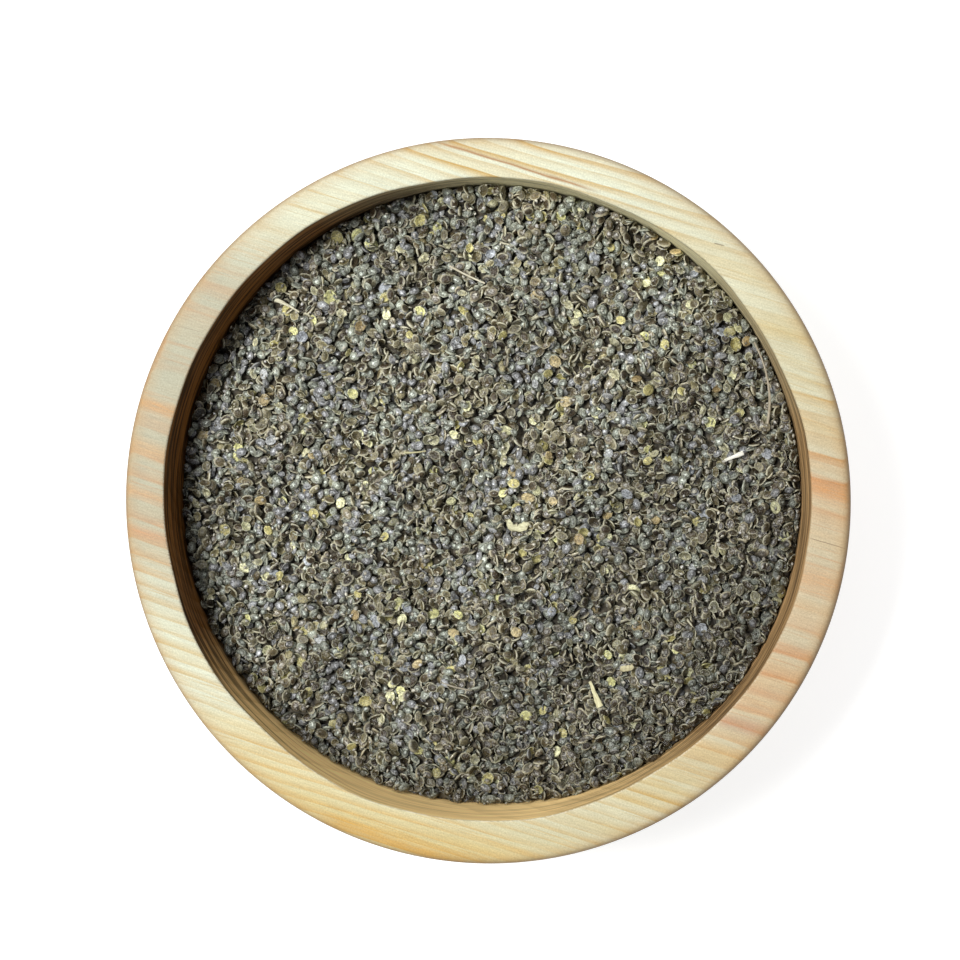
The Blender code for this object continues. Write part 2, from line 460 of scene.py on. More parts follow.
    def latewood(
        self, wires: Wiring, along: object, wander: object, waver: object, streaks: object
    ) -> bpy.types.NodeSocket:
        """How much dark latewood there is: it grows in each ring and stops short at its end.

        Args:
            wires: The material's nodes.
            along: The place along and across the fibres.
            wander: A very slow noise that bends the rings.
            waver: A slow noise that does too.
            streaks: Fine streaks along the fibres.

        Returns:
            The amount, 0 to 1.
        """
        across = wires.vector("MULTIPLY", wires.vector("SUBTRACT", along, self.heart), (0.0, 1.0, 1.0))
        radius = wires.math("MULTIPLY_ADD", wander, 6.0, wires.vector("LENGTH", across))
        radius = wires.math("MULTIPLY_ADD", waver, 0.8, radius)
        beyond = wires.math("SUBTRACT", radius, self.heart_radius)
        ring = wires.times(beyond, wires.math("MULTIPLY_ADD", beyond, self.narrowing, 1 / self.ring_width))
        each = wires.node("TexWhiteNoise", noise_dimensions="1D")
        wires.feed(each.inputs["W"], wires.math("FLOOR", ring))
        strength = wires.math("POWER", each.outputs[0], 1.5)
        fade = wires.noise(along, (0.03, 0.10, 0.10), 1.0)
        late = wires.times(
            wires.ramp(wires.math("FRACT", ring), self.ring_profile),
            wires.spread(strength, 0.0, 1.0, 0.38, 1.0),
            wires.spread(fade, 0.36, 0.58, 0.55, 1.0),
            wires.spread(streaks, 0.30, 0.60, 0.65, 1.0),
        )
        for at_x, at_y, left in self.calm:
            apart = wires.vector("SUBTRACT", along, (at_x, at_y, 45.0))
            apart = wires.vector("LENGTH", wires.vector("MULTIPLY", apart, (0.7, 1.0, 0.2)))
            late = wires.times(late, wires.spread(apart, 8.0, 26.0, left, 1.0))
        return late

    def wood(
        self, wires: Wiring, along: object, wander: object, late: object, streaks: object
    ) -> bpy.types.NodeSocket:
        """The sanded wood's colour: heartwood in the middle, sapwood at the far and the near side.

        Args:
            wires: The material's nodes.
            along: The place along and across the fibres.
            wander: A very slow noise that bends the sapwood's edge.
            late: How much latewood there is.
            streaks: Fine streaks along the fibres.

        Returns:
            The colour.
        """
        right, back, _ = wires.apart(along)
        from_heart = wires.math("MULTIPLY_ADD", wander, 16.0, wires.math("ABSOLUTE", back))
        sap = wires.spread(from_heart, 30.0, 48.0, 0.0, 1.0)
        sapwood = wires.mix(wires.spread(right, 6.0, 40.0, 0.0, 1.0), self.left_sapwood, self.right_sapwood)
        sapwood = wires.mix(wires.spread(back, -66.0, -51.0, 1.0, 0.0), sapwood, self.yellow_sapwood)
        to_right = wires.spread(right, -20.0, 40.0, 0.0, 1.0)
        early = wires.mix(sap, wires.mix(to_right, self.left_heartwood, self.right_heartwood), sapwood)
        bands = wires.noise(along, (0.012, 0.14, 0.14), 2.0, 0.6)
        bands = wires.times(
            wires.spread(bands, 0.46, 0.66, 0.0, 0.5), wires.spread(right, -45.0, 0.0, 0.3, 1.0)
        )
        early = wires.mix(bands, early, wires.mix(sap, self.band, self.yellow_band))
        dim = wires.times(
            wires.spread(right, 0.0, 45.0, 1.0, 0.9), wires.spread(right, -66.0, -20.0, 0.89, 1.0)
        )
        latewood = wires.mix(sap, self.late_heartwood, self.late_sapwood)
        latewood = wires.mix(wires.spread(back, -62.0, -49.0, 1.0, 0.0), latewood, self.late_front)
        colour = wires.mix(late, wires.shade(early, dim), latewood)
        cloud = wires.noise(along, (0.05, 0.16, 0.16))
        colour = wires.shade(colour, wires.spread(cloud, 0.3, 0.7, 0.96, 1.03))
        thin = wires.times(
            wires.spread(streaks, 0.55, 0.72, 0.0, 0.45), wires.math("SUBTRACT", 1.0, late)
        )
        return wires.mix(thin, colour, latewood)

    def facing(self, wires: Wiring) -> tuple[bpy.types.NodeSocket, bpy.types.NodeSocket]:
        """How much the surface faces along the fibres, and how much it faces up.

        Args:
            wires: The material's nodes.

        Returns:
            Both, -1 to 1.
        """
        facing = wires.node("TexCoord").outputs["Normal"]
        fibre_way = (math.cos(self.grain_turn), -math.sin(self.grain_turn), 0.0)
        up = wires.vector("DOT_PRODUCT", facing, (0.0, 0.0, 1.0))
        return wires.vector("DOT_PRODUCT", facing, fibre_way), up

    def rim_colour(
        self, wires: Wiring, along: object, colour: object, fibres: object
    ) -> bpy.types.NodeSocket:
        """Browns the end grain, darkens the rounded outer edge partly as painted shade, and paints a pale
        highlight on the inner edge at the front.

        Args:
            wires: The material's nodes.
            along: The place along and across the fibres.
            colour: The wood's colour so far.
            fibres: Fine fibres.

        Returns:
            The colour.
        """
        along_fibre, upright = self.facing(wires)
        _, back, height = wires.apart(along)
        ends = wires.math("POWER", wires.math("ABSOLUTE", along_fibre), 1.5)
        colour = wires.mix(wires.times(ends, 0.35), colour, self.right_end_grain)
        reach = wires.vector("LENGTH", wires.vector("MULTIPLY", along, (1.0, 1.0, 0.0)))
        # Partly painted shade: the rim browns towards its rounded outer edge.
        colour = wires.mix(wires.spread(reach, 66.8, 69.8, 0.0, 0.36), colour, self.edge)
        # Painted highlight on the inner edge's rounding at the front, broken up along the fibres.
        painted_edge_highlight = wires.times(
            wires.spread(reach, 62.9, 63.3, 0.5, 0.0),
            wires.spread(back, -30.0, 5.0, 1.0, 0.0),
            wires.spread(upright, 0.75, 0.99, 1.0, 0.0),
            wires.spread(fibres, 0.42, 0.58, 0.0, 1.0),
        )
        colour = wires.mix(painted_edge_highlight, colour, self.inner_edge_highlight)
        # Painted shade: the steep part of the outer rounding darkens as it turns from facing up.
        down = wires.times(
            wires.spread(height, 41.0, 43.4, 0.0, 1.0),
            wires.spread(upright, 0.3, 0.9, 0.85, 0.0),
            wires.spread(reach, 64.0, 66.0, 0.0, 1.0),
        )
        return wires.mix(down, colour, self.outside)

    def wall_colour(
        self, wires: Wiring, along: object, colour: object, late: object
    ) -> bpy.types.NodeSocket:
        """Browns the hollow's wall: most where the ends of the fibres show. Painted light makes the front
        and top of the wall lighter, and painted shade makes the far side and the left end grain darker.

        Args:
            wires: The material's nodes.
            along: The place along and across the fibres.
            colour: The wood's colour so far.
            late: How much latewood there is.

        Returns:
            The colour.
        """
        along_fibre, _ = self.facing(wires)
        _, back, _ = wires.apart(along)
        # Painted light and shade by side: lighter at the front and top, darker at the far side.
        side = wires.mix(wires.spread(back, -20.0, 45.0, 0.0, 1.0), self.front_wall_tint_and_painted_light, self.far_wall_tint_and_painted_shade)
        side = wires.mix(wires.spread(back, 54.0, 60.0, 0.0, 1.0), side, self.top_wall_tint_and_painted_light)
        right = wires.spread(along_fibre, -0.88, -0.45, 1.0, 0.0)
        left = wires.spread(along_fibre, 0.25, 0.75, 0.0, 1.0)
        grain_stain_and_painted_light = wires.mix(right, side, self.right_end_grain)
        # The left end grain's colour also paints the shade on that wall.
        colour = wires.mix(0.94, colour, wires.mix(left, grain_stain_and_painted_light, self.left_end_grain_and_painted_shade))
        layers = wires.noise(wires.millimetres(), (0.03, 0.03, 0.75), 3.0, 0.7)
        faint = wires.spread(layers, 0.36, 0.64, 0.78, 1.24)
        strong = wires.spread(layers, 0.42, 0.58, 0.35, 2.2)
        ends = wires.math("MAXIMUM", left, wires.times(right, 0.6))
        colour = wires.shade(colour, wires.mix(ends, faint, strong))
        return wires.shade(colour, wires.spread(late, 0.0, 0.8, 1.05, 0.86))

    @staticmethod
    def mask(wires: Wiring, along: object, waver: object, mark: PineMark) -> bpy.types.NodeSocket:
        """How much of a mark there is.

        Args:
            wires: The material's nodes.
            along: The place along and across the fibres.
            waver: A slow noise that bends the mark.
            mark: The mark.

        Returns:
            The mark's strength, with soft edges.
        """
        right, back, _ = wires.apart(
            wires.vector("SUBTRACT", along, (mark.along, mark.across, 0.0))
        )
        bent = wires.math("MULTIPLY_ADD", wires.math("SUBTRACT", waver, 0.5), 1.6, back)
        bent = wires.math("DIVIDE", wires.math("ABSOLUTE", bent), mark.width / 2)
        reach = wires.math("DIVIDE", wires.math("ABSOLUTE", right), mark.length / 2)
        narrow = wires.spread(bent, 0.2, 1.25, mark.strength, 0.0)
        return wires.times(narrow, wires.spread(reach, 0.7, 1.0, 1.0, 0.0))


@dataclass
class TurnedDish:
    """The dish: one piece of pine, turned on a lathe, with its hollow a little off centre.

    waves are the unevenness of the hollow's edge: how many go round, how high, and where they start.
    """

    rim_width: float = 7.9 * MM
    rim_rounding: float = 1.7 * MM
    inner_rounding: float = 0.4 * MM
    base_diameter: float = 96 * MM
    base_chamfer: float = 0.8 * MM
    belly_height: float = 38 * MM
    floor_thickness: float = 8 * MM
    hollow_fillet: float = 19 * MM
    hollow_taper: float = math.radians(1.5)
    hollow_off_centre: Place = (-0.1 * MM, 0.55 * MM)
    waves: tuple[tuple[int, float, float], ...] = (
        (2, 0.25 * MM, 0.1), (3, 0.21 * MM, -0.4), (5, 0.1 * MM, 1.4),
        (9, 0.13 * MM, -1.0), (11, 0.1 * MM, -2.9), (23, 0.05 * MM, 0.7),
    )
    waves_reach: float = 12 * MM
    lowest_hollow: float = 5 * MM
    segments: int = 288
    finish: PineFinish = field(default_factory=PineFinish)

    def __post_init__(self) -> None:
        low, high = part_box("dish")
        self.radius = (high.x - low.x) / 2
        self.height = high.z
        self.mouth_radius = self.radius - self.rim_width
        swell = self.radius - self.base_diameter / 2
        self.belly = (swell**2 + self.belly_height**2) / (2 * swell)

    @staticmethod
    def arc(centre: Place, radius: float, start: float, end: float, steps: int) -> list[Place]:
        """Points along an arc in the profile.

        Args:
            centre: Its centre, as distance from the axis and height.
            radius: Its radius.
            start: The angle where it starts, in degrees.
            end: The angle where it ends, in degrees.
            steps: How many stretches it has.

        Returns:
            The points, both ends included.
        """
        turns = np.radians(np.linspace(start, end, steps + 1))
        return [(centre[0] + radius * math.cos(a), centre[1] + radius * math.sin(a)) for a in turns]

    def outside(self) -> list[Place]:
        """The outer profile, from the underside's edge up to the rim's flat top."""
        base, belly = self.base_diameter / 2, self.belly
        start = math.degrees(self.base_chamfer / belly - math.asin(self.belly_height / belly))
        rounding = self.rim_rounding
        return [
            (base - self.base_chamfer, 0.0),
            *self.arc((self.radius - belly, self.belly_height), belly, start, 0, 18),
            *self.arc((self.radius - rounding, self.height - rounding), rounding, 0, 90, 8),
            (self.radius - 0.35 * self.rim_width, self.height),
            (self.radius - 0.65 * self.rim_width, self.height),
        ]

    def wall_radius(self, height: float) -> float:
        """The hollow's radius at a height above its fillet.

        Args:
            height: The height.

        Returns:
            The radius.
        """
        return self.mouth_radius - (self.height - height) * math.tan(self.hollow_taper)

    def in_hollow(self, place: Vector) -> bool:
        """Whether a point of the still round dish is on the hollow or its edge.

        Args:
            place: The point.

        Returns:
            Whether it is.
        """
        across = math.hypot(place.x, place.y)
        outer = self.radius - self.belly + math.sqrt(self.belly**2 - (place.z - self.belly_height) ** 2)
        edge = self.mouth_radius + self.inner_rounding + 0.01 * MM
        return place.z > self.lowest_hollow and across < min(edge, outer - 2 * MM)

    def inside(self) -> list[Place]:
        """The hollow's profile, from the rim's inner edge down to the floor."""
        edge = self.inner_rounding
        spring = self.floor_thickness + self.hollow_fillet
        foot = self.wall_radius(spring)
        heights = np.linspace(self.height - edge, spring, 12)[1:-1]
        return [
            *self.arc((self.mouth_radius + edge, self.height - edge), edge, 90, 180, 4),
            *((self.wall_radius(z), z) for z in heights),
            *self.arc((foot - self.hollow_fillet, spring), self.hollow_fillet, 0, -90, 12),
            (8 * MM, self.floor_thickness),
        ]

    def turn_rings(self, profile: list[Place]) -> None:
        """Extrudes the selected ring along a profile.

        Args:
            profile: The rings' radii and heights. The first is where the selected ring is.
        """
        for (before, low), (after, high) in zip(profile, profile[1:]):
            move = {"value": (0.0, 0.0, high - low)}
            bpy.ops.mesh.extrude_region_move(TRANSFORM_OT_translate=move)
            scale = after / before
            bpy.ops.transform.resize(value=(scale, scale, 1.0), center_override=(0.0, 0.0, 0.0))

    def build(self) -> bpy.types.Object:
        """Turns the dish and dresses it.

        Returns:
            The dish.
        """
        Bench.clear_selection()
        outside, inside = self.outside(), self.inside()
        bpy.ops.mesh.primitive_circle_add(
            vertices=self.segments, radius=outside[0][0], fill_type="NGON", location=(0, 0, 0)
        )
        dish = bpy.context.object
        dish.name = "turned_dish"
        bpy.ops.object.mode_set(mode="EDIT")
        bpy.ops.mesh.select_all(action="SELECT")
        self.turn_rings(outside)
        self.turn_rings([outside[-1], *inside])
        bpy.ops.mesh.merge(type="CENTER")
        bpy.ops.mesh.select_all(action="SELECT")
        bpy.ops.mesh.normals_make_consistent(inside=False)
        bpy.ops.object.mode_set(mode="OBJECT")
        dish.data.materials.append(self.finish.material("pine_rim"))
        dish.data.materials.append(self.finish.material("pine_hollow", wall=True))
        for face in dish.data.polygons:
            below_edge = face.center.z < self.height - 0.35 * MM
            face.material_index = int(self.in_hollow(face.center) and below_edge)
        self.shift_hollow(dish)
        bpy.ops.object.shade_smooth_by_angle(angle=math.radians(32))
        Bench.hand_in(dish, "pine", "dish")
        return dish

    def shift_hollow(self, dish: bpy.types.Object) -> None:
        """Moves the hollow off centre, as it was turned, and makes its edge a little uneven.

        Args:
            dish: The dish, still round.
        """
        for vertex in dish.data.vertices:
            place = vertex.co
            if self.in_hollow(place):
                turn = math.atan2(place.y, place.x)
                near = max(0.0, 1 - (self.height - place.z) / self.waves_reach)
                out = near * sum(size * math.cos(count * turn + phase) for count, size, phase in self.waves)
                place.x += self.hollow_off_centre[0] + out * math.cos(turn)
                place.y += self.hollow_off_centre[1] + out * math.sin(turn)


class Shape(Enum):
    """The forms that loose pieces of the heap come in."""

    SEED = "seed"
    PEBBLE = "pebble"
    HUSK = "husk"
    FLAKE = "flake"
    CRUMB = "crumb"


@dataclass(frozen=True)
class SeedKind:
    """One kind of loose piece: its form, how many there are and how it looks."""

    name: str
    shape: Shape
    share: float
    coats: tuple[Colour, ...]
    # margin: the pale rim, which also paints the highlight where a rim catches the light.
    margin: Colour
    # middle: the colour of a piece's middle; on pebbles a pale dust that also paints a sheen highlight.
    middle: Colour
    middle_share: float
    at_front: float = 0.0
    in_dust: float = 0.0
    margin_share: float = 0.88
    length: float = 2.25 * MM
    uneven: float = 0.13
    fade: float = 0.45
    roughness: float = 0.25

    def finish(self) -> bpy.types.Material:
        """Makes its coat: each piece's own colour, a pale margin that also paints a rim highlight, a middle
        of its own that on pebbles is dust with a painted sheen highlight, and dusty speckle.

        Returns:
            The material.
        """
        wires = Wiring(f"{self.name}_coat")
        coat = wires.node("Attribute", attribute_name="coat")
        parts = wires.node("SeparateColor")
        wires.feed(parts.inputs[0], wires.node("Attribute", attribute_name="part").outputs["Color"])
        place = wires.millimetres()
        speckle = wires.noise(place, 3.0, 2.0, 0.7)
        mottle = wires.noise(place, 1.2, 2.0, 0.5)
        # On pebbles the pale middle is dust and a painted sheen highlight, less of it towards the right
        # front.
        middle = wires.times(
            parts.outputs["Green"], wires.spread(speckle, 0.42, 0.58, 0.4, 1.0), self.middle_share
        )
        if self.shape is Shape.PEBBLE:
            front = wires.vector("DOT_PRODUCT", place, (*FRONT_WAY, 0.0))
            middle = wires.times(middle, wires.spread(front, 5.0, 55.0, 1.0, 0.5))
        # The pale margin: partly the seeds' own rim, partly a painted rim highlight.
        margin = wires.spread(parts.outputs["Red"], 0.2, 1.0, 0.0, self.margin_share)
        colour = wires.mix(middle, coat.outputs["Color"], self.middle)
        colour = wires.shade(colour, wires.spread(mottle, 0.3, 0.7, 0.62, 1.36))
        colour = wires.shade(colour, wires.spread(speckle, 0.38, 0.62, 0.60, 1.44))
        # The coat's alpha is the brightness factor, with the painted shade at the wall.
        colour = wires.shade(wires.mix(margin, colour, self.margin), coat.outputs["Alpha"])
        wires.bump(speckle, 0.25 * MM)
        return wires.dress(Base_Color=colour, Roughness=self.roughness, Specular_IOR_Level=0.65)


@dataclass(frozen=True)
class Form:
    """A modelled seed as arrays, to be copied: one unit long and lying flat."""

    points: np.ndarray
    faces: np.ndarray
    parts: np.ndarray
    tiles: np.ndarray


@dataclass(frozen=True)
class Pressing:
    """A thin round piece, as rings from its edge to its middle, and what is then done to it."""

    sides: int
    top: tuple[Place, ...]
    under: tuple[Place, ...]
    width: float
    tip: float = 0.0
    curl: float = 0.0
    fold: float = 0.0
    uneven: float = 0.02

    def press(self, seed: int) -> Form:
        """Models the piece and reads it into arrays.

        Args:
            seed: What makes its unevenness its own.

        Returns:
            The form.
        """
        Bench.clear_selection()
        bpy.ops.mesh.primitive_circle_add(
            vertices=self.sides, radius=0.5, fill_type="NGON", location=(0, 0, 0)
        )
        piece = bpy.context.object
        bpy.ops.object.mode_set(mode="EDIT")
        bpy.ops.mesh.select_mode(type="VERT")
        bpy.ops.mesh.select_all(action="SELECT")
        self.rings(self.top)
        bpy.ops.mesh.select_mode(type="FACE")
        bpy.ops.mesh.select_all(action="DESELECT")
        bpy.ops.object.mode_set(mode="OBJECT")
        for face in piece.data.polygons:
            face.select = len(face.vertices) == self.sides
        bpy.ops.object.mode_set(mode="EDIT")
        self.rings(self.under)
        bpy.ops.mesh.select_all(action="SELECT")
        bpy.ops.mesh.quads_convert_to_tris()
        bpy.ops.mesh.normals_make_consistent(inside=False)
        bpy.ops.object.mode_set(mode="OBJECT")
        faces, parts, tiles = self.lay_out(piece)
        bpy.ops.object.mode_set(mode="EDIT")
        bpy.ops.transform.resize(value=(1.0, self.width, 1.0), center_override=(0, 0, 0))
        Bench.select_vertices(lambda at: at.x > 0.42)
        bpy.ops.transform.translate(value=(self.tip, 0.0, 0.0))
        bpy.ops.mesh.select_all(action="SELECT")
        bpy.ops.transform.vertex_random(offset=self.uneven, uniform=0.6, seed=seed)
        bpy.ops.object.mode_set(mode="OBJECT")
        for axis, angle in (("Y", self.curl), ("X", self.fold)):
            bend = piece.modifiers.new("bend", "SIMPLE_DEFORM")
            bend.deform_method = "BEND"
            bend.deform_axis = axis
            bend.angle = angle
        Bench.apply_modifiers(piece)
        points = np.array([vertex.co for vertex in piece.data.vertices])
        bpy.data.objects.remove(piece)
        return Form(points - points.mean(0), faces, parts, tiles)

    def rings(self, profile: tuple[Place, ...]) -> None:
        """Extrudes the selected round face ring by ring and closes it in its middle.

        Args:
            profile: Each ring's radius and height. The last one is the middle.
        """
        before, low = 0.5, 0.0
        for radius, height in profile:
            bpy.ops.mesh.extrude_region_move(TRANSFORM_OT_translate={"value": (0.0, 0.0, height - low)})
            scale = max(radius, 0.02) / before
            bpy.ops.transform.resize(value=(scale, scale, 1.0), center_override=(0.0, 0.0, 0.0))
            before, low = max(radius, 0.02), height
        bpy.ops.mesh.merge(type="CENTER")

    def lay_out(self, piece: bpy.types.Object) -> tuple[np.ndarray, np.ndarray, np.ndarray]:
        """Reads the flat piece's triangles, which part each point is, and each corner's place on a map.

        Args:
            piece: The piece, before it is bent.

        Returns:
            The triangles, the parts as margin, middle and nothing, and the map.
        """
        mesh = piece.data
        points = np.array([vertex.co for vertex in mesh.vertices])
        faces = np.array([face.vertices for face in mesh.polygons])
        across = np.hypot(points[:, 0], points[:, 1])
        on_top = {round(height, 4) for _, height in self.top}
        top = np.array([round(height, 4) in on_top for height in points[:, 2]])
        parts = np.zeros((len(points), 4))
        parts[:, 0] = np.clip((across - 0.40) / 0.08, 0, 1)
        parts[:, 1] = np.clip(1.15 - across / 0.3, 0, 1) * top
        up = np.array([face.normal.z > 0 for face in mesh.polygons])
        flat = points[faces][:, :, :2] * 0.9 + 0.5
        flat[:, :, 0] = (flat[:, :, 0] + np.where(up, 0.0, 1.0)[:, None]) / 2
        return faces, parts, flat


class Presses:
    """The forms that each shape comes in."""

    dome = ((0.45, 0.06), (0.28, 0.14), (0.0, 0.155))
    swell = ((0.45, 0.09), (0.28, 0.175), (0.0, 0.195))
    high_swell = ((0.45, 0.10), (0.28, 0.205), (0.0, 0.23))
    dimple = ((0.43, 0.06), (0.28, 0.025), (0.0, -0.02))
    belly = ((0.34, -0.10), (0.0, -0.13))
    bowl = ((0.40, -0.07), (0.22, -0.16), (0.0, -0.17))
    bowl_back = ((0.36, -0.17), (0.0, -0.25))
    plate = ((0.40, 0.03), (0.20, 0.04), (0.0, 0.03))
    plate_back = ((0.40, -0.05), (0.0, -0.05))

    @classmethod
    def make(cls) -> dict[Shape, list[Form]]:
        """Models every form once."""
        wide, slim = math.radians(35), math.radians(80)
        pressings = {
            Shape.SEED: (
                Pressing(9, cls.dome, cls.belly, 0.76, tip=0.05),
                Pressing(9, cls.dome, cls.belly, 0.70, tip=0.07, curl=0.3),
                Pressing(9, cls.dome, cls.belly, 0.82, fold=0.5),
                Pressing(9, cls.dimple, cls.bowl_back, 0.74, tip=0.06, uneven=0.03),
                Pressing(9, cls.dome, cls.belly, 0.66, tip=0.06, curl=-0.5, uneven=0.03),
            ),
            Shape.PEBBLE: (
                Pressing(9, cls.swell, cls.belly, 0.76, tip=0.04, uneven=0.025),
                Pressing(8, cls.swell, cls.belly, 0.84, tip=0.02, uneven=0.035),
                Pressing(9, cls.high_swell, cls.belly, 0.70, tip=0.06, curl=0.3, uneven=0.03),
                Pressing(8, cls.dimple, cls.belly, 0.80, fold=0.4, uneven=0.035),
            ),
            Shape.HUSK: (
                Pressing(8, cls.bowl, cls.bowl_back, 0.84, tip=0.04, uneven=0.035),
                Pressing(8, cls.bowl, cls.bowl_back, 0.68, tip=0.08, fold=wide),
                Pressing(9, cls.bowl, cls.bowl_back, 0.74, curl=wide, uneven=0.035),
                Pressing(8, cls.bowl, cls.bowl_back, 0.78, tip=0.06, fold=slim),
                Pressing(8, cls.bowl, cls.bowl_back, 0.62, tip=0.08, curl=-0.6, uneven=0.04),
            ),
            Shape.FLAKE: (
                Pressing(9, cls.plate, cls.plate_back, 0.92, uneven=0.03),
                Pressing(9, cls.plate, cls.plate_back, 0.84, tip=0.04, curl=0.5, uneven=0.03),
                Pressing(8, cls.bowl, cls.bowl_back, 0.90, fold=0.4, uneven=0.03),
            ),
            Shape.CRUMB: (
                Pressing(5, ((0.0, 0.25),), ((0.0, -0.25),), 0.8, uneven=0.12),
                Pressing(4, ((0.3, 0.2), (0.0, 0.25)), ((0.0, -0.25),), 0.6, uneven=0.1),
                Pressing(6, ((0.0, 0.12),), ((0.0, -0.12),), 0.5, curl=0.8, uneven=0.08),
            ),
        }
        return {
            shape: [pressing.press(number + 1) for number, pressing in enumerate(each)]
            for shape, each in pressings.items()
        }


@dataclass
class HeapLevel:
    """Where the heap's surface lies."""

    depth: float = 14 * MM
    swell: float = 0.45 * MM
    mounds: float = 0.28 * MM
    droop: float = 0.7 * MM

    def height(self, x: np.ndarray, y: np.ndarray, dish: TurnedDish) -> np.ndarray:
        """The heap's even level, with low swells and a droop at the wall.

        Args:
            x: Places to the right of the hollow's axis.
            y: Places behind it.
            dish: The dish.

        Returns:
            The heights.
        """
        swell = self.swell * np.sin(x / (13 * MM) + 0.8) * np.cos(y / (16 * MM) - 0.5)
        swell = swell + 0.25 * MM * np.sin((x + y) / (8 * MM))
        swell = swell + self.mounds * np.sin(x / (1.9 * MM)) * np.sin(y / (1.7 * MM) + 1.0)
        droop = self.droop * (np.hypot(x, y) / dish.mouth_radius) ** 6
        return dish.height - self.depth + swell - droop


@dataclass
class HeapCore:
    """The body under the loose seeds, with bumps of seed size."""

    dish: TurnedDish
    level: HeapLevel
    sink: float = 1.15 * MM
    gap: float = 0.3 * MM
    cells: int = 150

    def build(self) -> bpy.types.Object:
        """Models the core and dresses it.

        Returns:
            The core.
        """
        Bench.clear_selection()
        top_radius = self.dish.wall_radius(self.dish.height - self.level.depth) - self.gap
        bpy.ops.mesh.primitive_grid_add(
            x_subdivisions=self.cells, y_subdivisions=self.cells, size=2, location=(0, 0, 0)
        )
        core = bpy.context.object
        core.name = "seed_core"
        self.round_off(core, top_radius)
        bpy.ops.object.mode_set(mode="EDIT")
        bpy.ops.mesh.select_mode(type="EDGE")
        bpy.ops.mesh.select_all(action="DESELECT")
        bpy.ops.mesh.select_non_manifold()
        spring = self.dish.floor_thickness + self.dish.hollow_fillet
        foot = self.dish.wall_radius(spring)
        fillet = self.dish.hollow_fillet - self.gap
        centre = (foot - self.gap - fillet, spring)
        below = TurnedDish.arc(centre, fillet, 0, -90, 8)
        before = top_radius
        bpy.ops.mesh.extrude_region_move()
        bpy.ops.transform.resize(value=(1, 1, 0), center_override=(0, 0, below[0][1]))
        bpy.ops.transform.resize(value=(below[0][0] / before,) * 2 + (1,), center_override=(0, 0, 0))
        self.dish.turn_rings(below)
        bpy.ops.mesh.edge_face_add()
        bpy.ops.mesh.select_all(action="SELECT")
        bpy.ops.mesh.normals_make_consistent(inside=False)
        bpy.ops.transform.translate(value=(*self.dish.hollow_off_centre, 0.0))
        bpy.ops.object.mode_set(mode="OBJECT")
        core.data.shade_smooth()
        core.data.materials.append(self.finish())
        Bench.hand_in(core, "nettle_seeds", "seeds")
        return core

    @staticmethod
    def finish() -> bpy.types.Material:
        """Makes the core's finish: painted shade in the gaps between grains, where the seeds on top leave
        them.

        Returns:
            The material.
        """
        wires = Wiring("seed_shade")
        speckle = wires.noise(wires.millimetres(), 1.1, 3.0, 0.6)
        grains = wires.node("TexVoronoi", feature="F1")
        wires.feed(grains.inputs["Vector"], wires.millimetres())
        wires.feed(grains.inputs["Scale"], 0.62)
        apart = grains.outputs["Distance"]
        colour = wires.mix(speckle, srgb(58, 51, 39), srgb(98, 90, 72))
        # Painted shade: near black in the gaps between grains.
        colour = wires.mix(wires.spread(apart, 0.3, 0.75, 0.0, 0.9), colour, srgb(20, 16, 11))
        wires.bump(wires.math("SUBTRACT", 1.0, apart), 0.9 * MM)
        return wires.dress(Base_Color=colour, Roughness=0.7)

    def round_off(self, core: bpy.types.Object, radius: float) -> None:
        """Draws the square grid out to a round one, and raises bumps of seed size on it.

        Args:
            core: The grid, two units wide.
            radius: The radius it gets.
        """
        points = np.array([v.co for v in core.data.vertices])
        x, y = points[:, 0], points[:, 1]
        points[:, 0], points[:, 1] = x * np.sqrt(1 - y**2 / 2), y * np.sqrt(1 - x**2 / 2)
        points *= radius
        draw = np.random.default_rng(3)
        level = self.level.height(points[:, 0], points[:, 1], self.dish) - self.sink
        points[:, 2] = level + draw.uniform(-0.3, 0.3, len(points)) * MM
        core.data.vertices.foreach_set("co", points.astype(np.float32).ravel())
        core.data.update()


